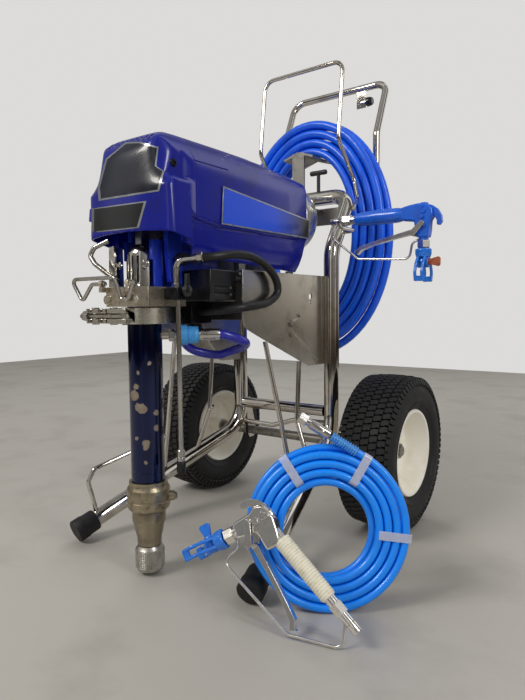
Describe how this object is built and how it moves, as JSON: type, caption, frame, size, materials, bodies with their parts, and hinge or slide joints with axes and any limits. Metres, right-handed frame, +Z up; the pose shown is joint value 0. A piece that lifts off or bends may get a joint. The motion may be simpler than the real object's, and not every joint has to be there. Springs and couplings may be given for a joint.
{
  "type": "airless paint sprayer",
  "caption": "Electric airless piston paint sprayer on a two-wheeled bent-tube cart, with a hose coil and spray gun hung on it and a second coil and gun in front.",
  "frame": {"origin": "bottom centre of the machine's bounding box without the two hose coils and the front hose end, at floor level", "axes": "+Z up, +X across the cart along the wheel axle, -Y towards the pump and the guns' nozzles, +Y towards the push handle"},
  "size_m": [0.7062, 0.7542, 0.9925],
  "materials": {
    "tyre_rubber": "matt, block tread",
    "black_rubber": "matt",
    "white_paint": "satin",
    "frame_chrome": "bright plated",
    "bright_steel": "polished",
    "brushed_steel": "brushed",
    "cast_steel": "bare casting",
    "copper_brown": "varnished windings",
    "blue_paint": "gloss",
    "blue_casting": "satin metallic",
    "dark_chrome": "dark plated, worn",
    "black_plastic": "matt",
    "black_metal": "satin black",
    "packing": "stacked packings",
    "light_blue_plastic": "gloss",
    "indigo_hose": "smooth hose cover",
    "royal_hose": "smooth hose cover",
    "azure_hose": "smooth hose cover",
    "gun_blue": "gloss",
    "gun_chrome": "polished",
    "guard_blue": "clear tinted",
    "flag_orange": "matt"
  },
  "bodies": {
    "machine": {"axle": "brushed_steel", "frame_arch": "frame_chrome", "foot_cap_right": "black_rubber", "foot_cap_left": "black_rubber", "side_plate_right": "brushed_steel", "side_plate_left": "brushed_steel", "frame_side_right": "frame_chrome", "frame_side_left": "frame_chrome", "deck": "brushed_steel", "front_cowl": "blue_paint", "motor_shroud": "blue_paint", "motor_can": "black_metal", "motor_end_bell": "bright_steel", "drive_housing": "blue_casting", "bearing_block": "cast_steel", "rod_shield": "bright_steel", "pump_cylinder": "dark_chrome", "packing_stack": "packing", "lower_housing": "cast_steel", "intake_cone": "cast_steel", "intake_ball": "bright_steel", "intake_nut": "brushed_steel", "clamp_ring": "cast_steel", "junction_box": "black_plastic", "filter_manifold": "black_metal", "prime_valve": "brushed_steel", "swivel_nut": "light_blue_plastic", "whip_hose": "indigo_hose", "conduit_hose": "black_rubber", "control_housing": "black_plastic", "rear_hose_coil": "royal_hose", "front_hose_coil": "azure_hose", "front_hose_end": "bright_steel", "rack_wire": "frame_chrome", "hose_saddle": "brushed_steel", "rear_gun_body": "gun_blue", "rear_gun_tip_guard": "guard_blue", "front_gun_body": "gun_chrome", "front_gun_tip_guard": "guard_blue"},
    "wheel_right": {"tyre_right": "tyre_rubber", "rim_right": "white_paint"},
    "wheel_left": {"tyre_left": "tyre_rubber", "rim_left": "white_paint"},
    "armature": {"armature": "copper_brown"},
    "reduction_gear": {"reduction_gear": "brushed_steel"},
    "crankshaft": {"crankshaft": "brushed_steel"},
    "displacement_rod": {"displacement_rod": "bright_steel"},
    "connecting_rod": {"connecting_rod": "brushed_steel"},
    "prime_lever": {"prime_lever": "black_plastic"},
    "pressure_knob": {"pressure_knob": "black_plastic"},
    "power_switch": {"power_switch": "black_plastic"},
    "pail_hook": {"pail_hook": "bright_steel"},
    "swing_bolt": {"swing_bolt": "brushed_steel"},
    "cart_handle": {"cart_handle": "frame_chrome"},
    "handle_knob": {"handle_knob": "black_plastic"},
    "pull_pin": {"pull_pin": "black_metal"},
    "rear_gun_trigger": {"rear_gun_trigger": "gun_chrome"},
    "rear_gun_tip": {"rear_gun_tip": "flag_orange"},
    "front_gun_trigger": {"front_gun_trigger": "gun_chrome"},
    "front_gun_tip": {"front_gun_tip": "flag_orange"}
  },
  "joints": [
    {"name": "wheel_right_spin", "type": "hinge", "parent": "machine", "child": "wheel_right", "pos_m": [0.20196, 0.13514, 0.155], "axis": [1, 0, 0], "continuous": true},
    {"name": "wheel_left_spin", "type": "hinge", "parent": "machine", "child": "wheel_left", "pos_m": [-0.29404, 0.13514, 0.155], "axis": [1, 0, 0], "continuous": true},
    {"name": "armature_spin", "type": "hinge", "parent": "machine", "child": "armature", "pos_m": [-0.04604, 0, 0.64], "axis": [0, 1, 0], "continuous": true},
    {"name": "reduction_gear_spin", "type": "hinge", "parent": "machine", "child": "reduction_gear", "pos_m": [-0.09013, -0.195, 0.63565], "axis": [0, 1, 0], "continuous": true},
    {"name": "crankshaft_spin", "type": "hinge", "parent": "machine", "child": "crankshaft", "pos_m": [-0.04604, -0.2, 0.596], "axis": [0, 1, 0], "continuous": true},
    {"name": "rod_stroke", "type": "slide", "parent": "machine", "child": "displacement_rod", "axis": [0, 0, 1], "range_m": [-0.044, 0]},
    {"name": "connecting_rod_swing", "type": "hinge", "parent": "displacement_rod", "child": "connecting_rod", "pos_m": [-0.04604, -0.30486, 0.5], "axis": [0, 1, 0], "range_deg": [-11, 11]},
    {"name": "prime_lever_turn", "type": "hinge", "parent": "machine", "child": "prime_lever", "pos_m": [0.03996, -0.29286, 0.476], "axis": [1, 0, 0], "range_deg": [0, 90]},
    {"name": "pressure_knob_turn", "type": "hinge", "parent": "machine", "child": "pressure_knob", "pos_m": [-0.00204, 0.06514, 0.462], "axis": [0, 1, 0], "range_deg": [0, 270]},
    {"name": "power_switch_rock", "type": "hinge", "parent": "machine", "child": "power_switch", "pos_m": [-0.09004, 0.05644, 0.462], "axis": [1, 0, 0], "range_deg": [-8, 8]},
    {"name": "pail_hook_swing", "type": "hinge", "parent": "machine", "child": "pail_hook", "pos_m": [-0.04604, -0.36206, 0.4884], "axis": [-1, 0, 0], "range_deg": [0, 90]},
    {"name": "swing_bolt_open", "type": "hinge", "parent": "machine", "child": "swing_bolt", "pos_m": [-0.03404, -0.35486, 0.437], "axis": [0, 0, 1], "range_deg": [0, 80]},
    {"name": "handle_slide", "type": "slide", "parent": "machine", "child": "cart_handle", "axis": [0, 0, 1], "range_m": [-0.132, 0]},
    {"name": "handle_knob_turn", "type": "hinge", "parent": "cart_handle", "child": "handle_knob", "pos_m": [0.03796, 0.36614, 0.95], "axis": [1, 0, 0], "continuous": true},
    {"name": "pull_pin_lift", "type": "slide", "parent": "machine", "child": "pull_pin", "axis": [0, 0, 1], "range_m": [0, 0.012]},
    {"name": "rear_gun_trigger_pull", "type": "hinge", "parent": "machine", "child": "rear_gun_trigger", "pos_m": [0.28196, 0.09114, 0.6], "axis": [0, 1, 0], "range_deg": [0, 6], "stiffness_Nm_per_rad": 2, "springref_deg": -11.46},
    {"name": "rear_gun_tip_turn", "type": "hinge", "parent": "machine", "child": "rear_gun_tip", "pos_m": [0.27996, 0.09114, 0.531], "axis": [1, 0, 0], "range_deg": [0, 180]},
    {"name": "front_gun_trigger_pull", "type": "hinge", "parent": "machine", "child": "front_gun_trigger", "pos_m": [0.17405, -0.3109, 0.13421], "axis": [0.2352, -0.9159, 0.3252], "range_deg": [0, 6], "stiffness_Nm_per_rad": 2, "springref_deg": -11.46},
    {"name": "front_gun_tip_turn", "type": "hinge", "parent": "machine", "child": "front_gun_tip", "pos_m": [0.12144, -0.33724, 0.09811], "axis": [0.5808, -0.1359, -0.8027], "range_deg": [0, 180]}
  ],
  "couplings": [
    {"joint": "reduction_gear_spin", "follows": "armature_spin", "ratio": -0.31818},
    {"joint": "crankshaft_spin", "follows": "armature_spin", "ratio": 0.082111}
  ]
}
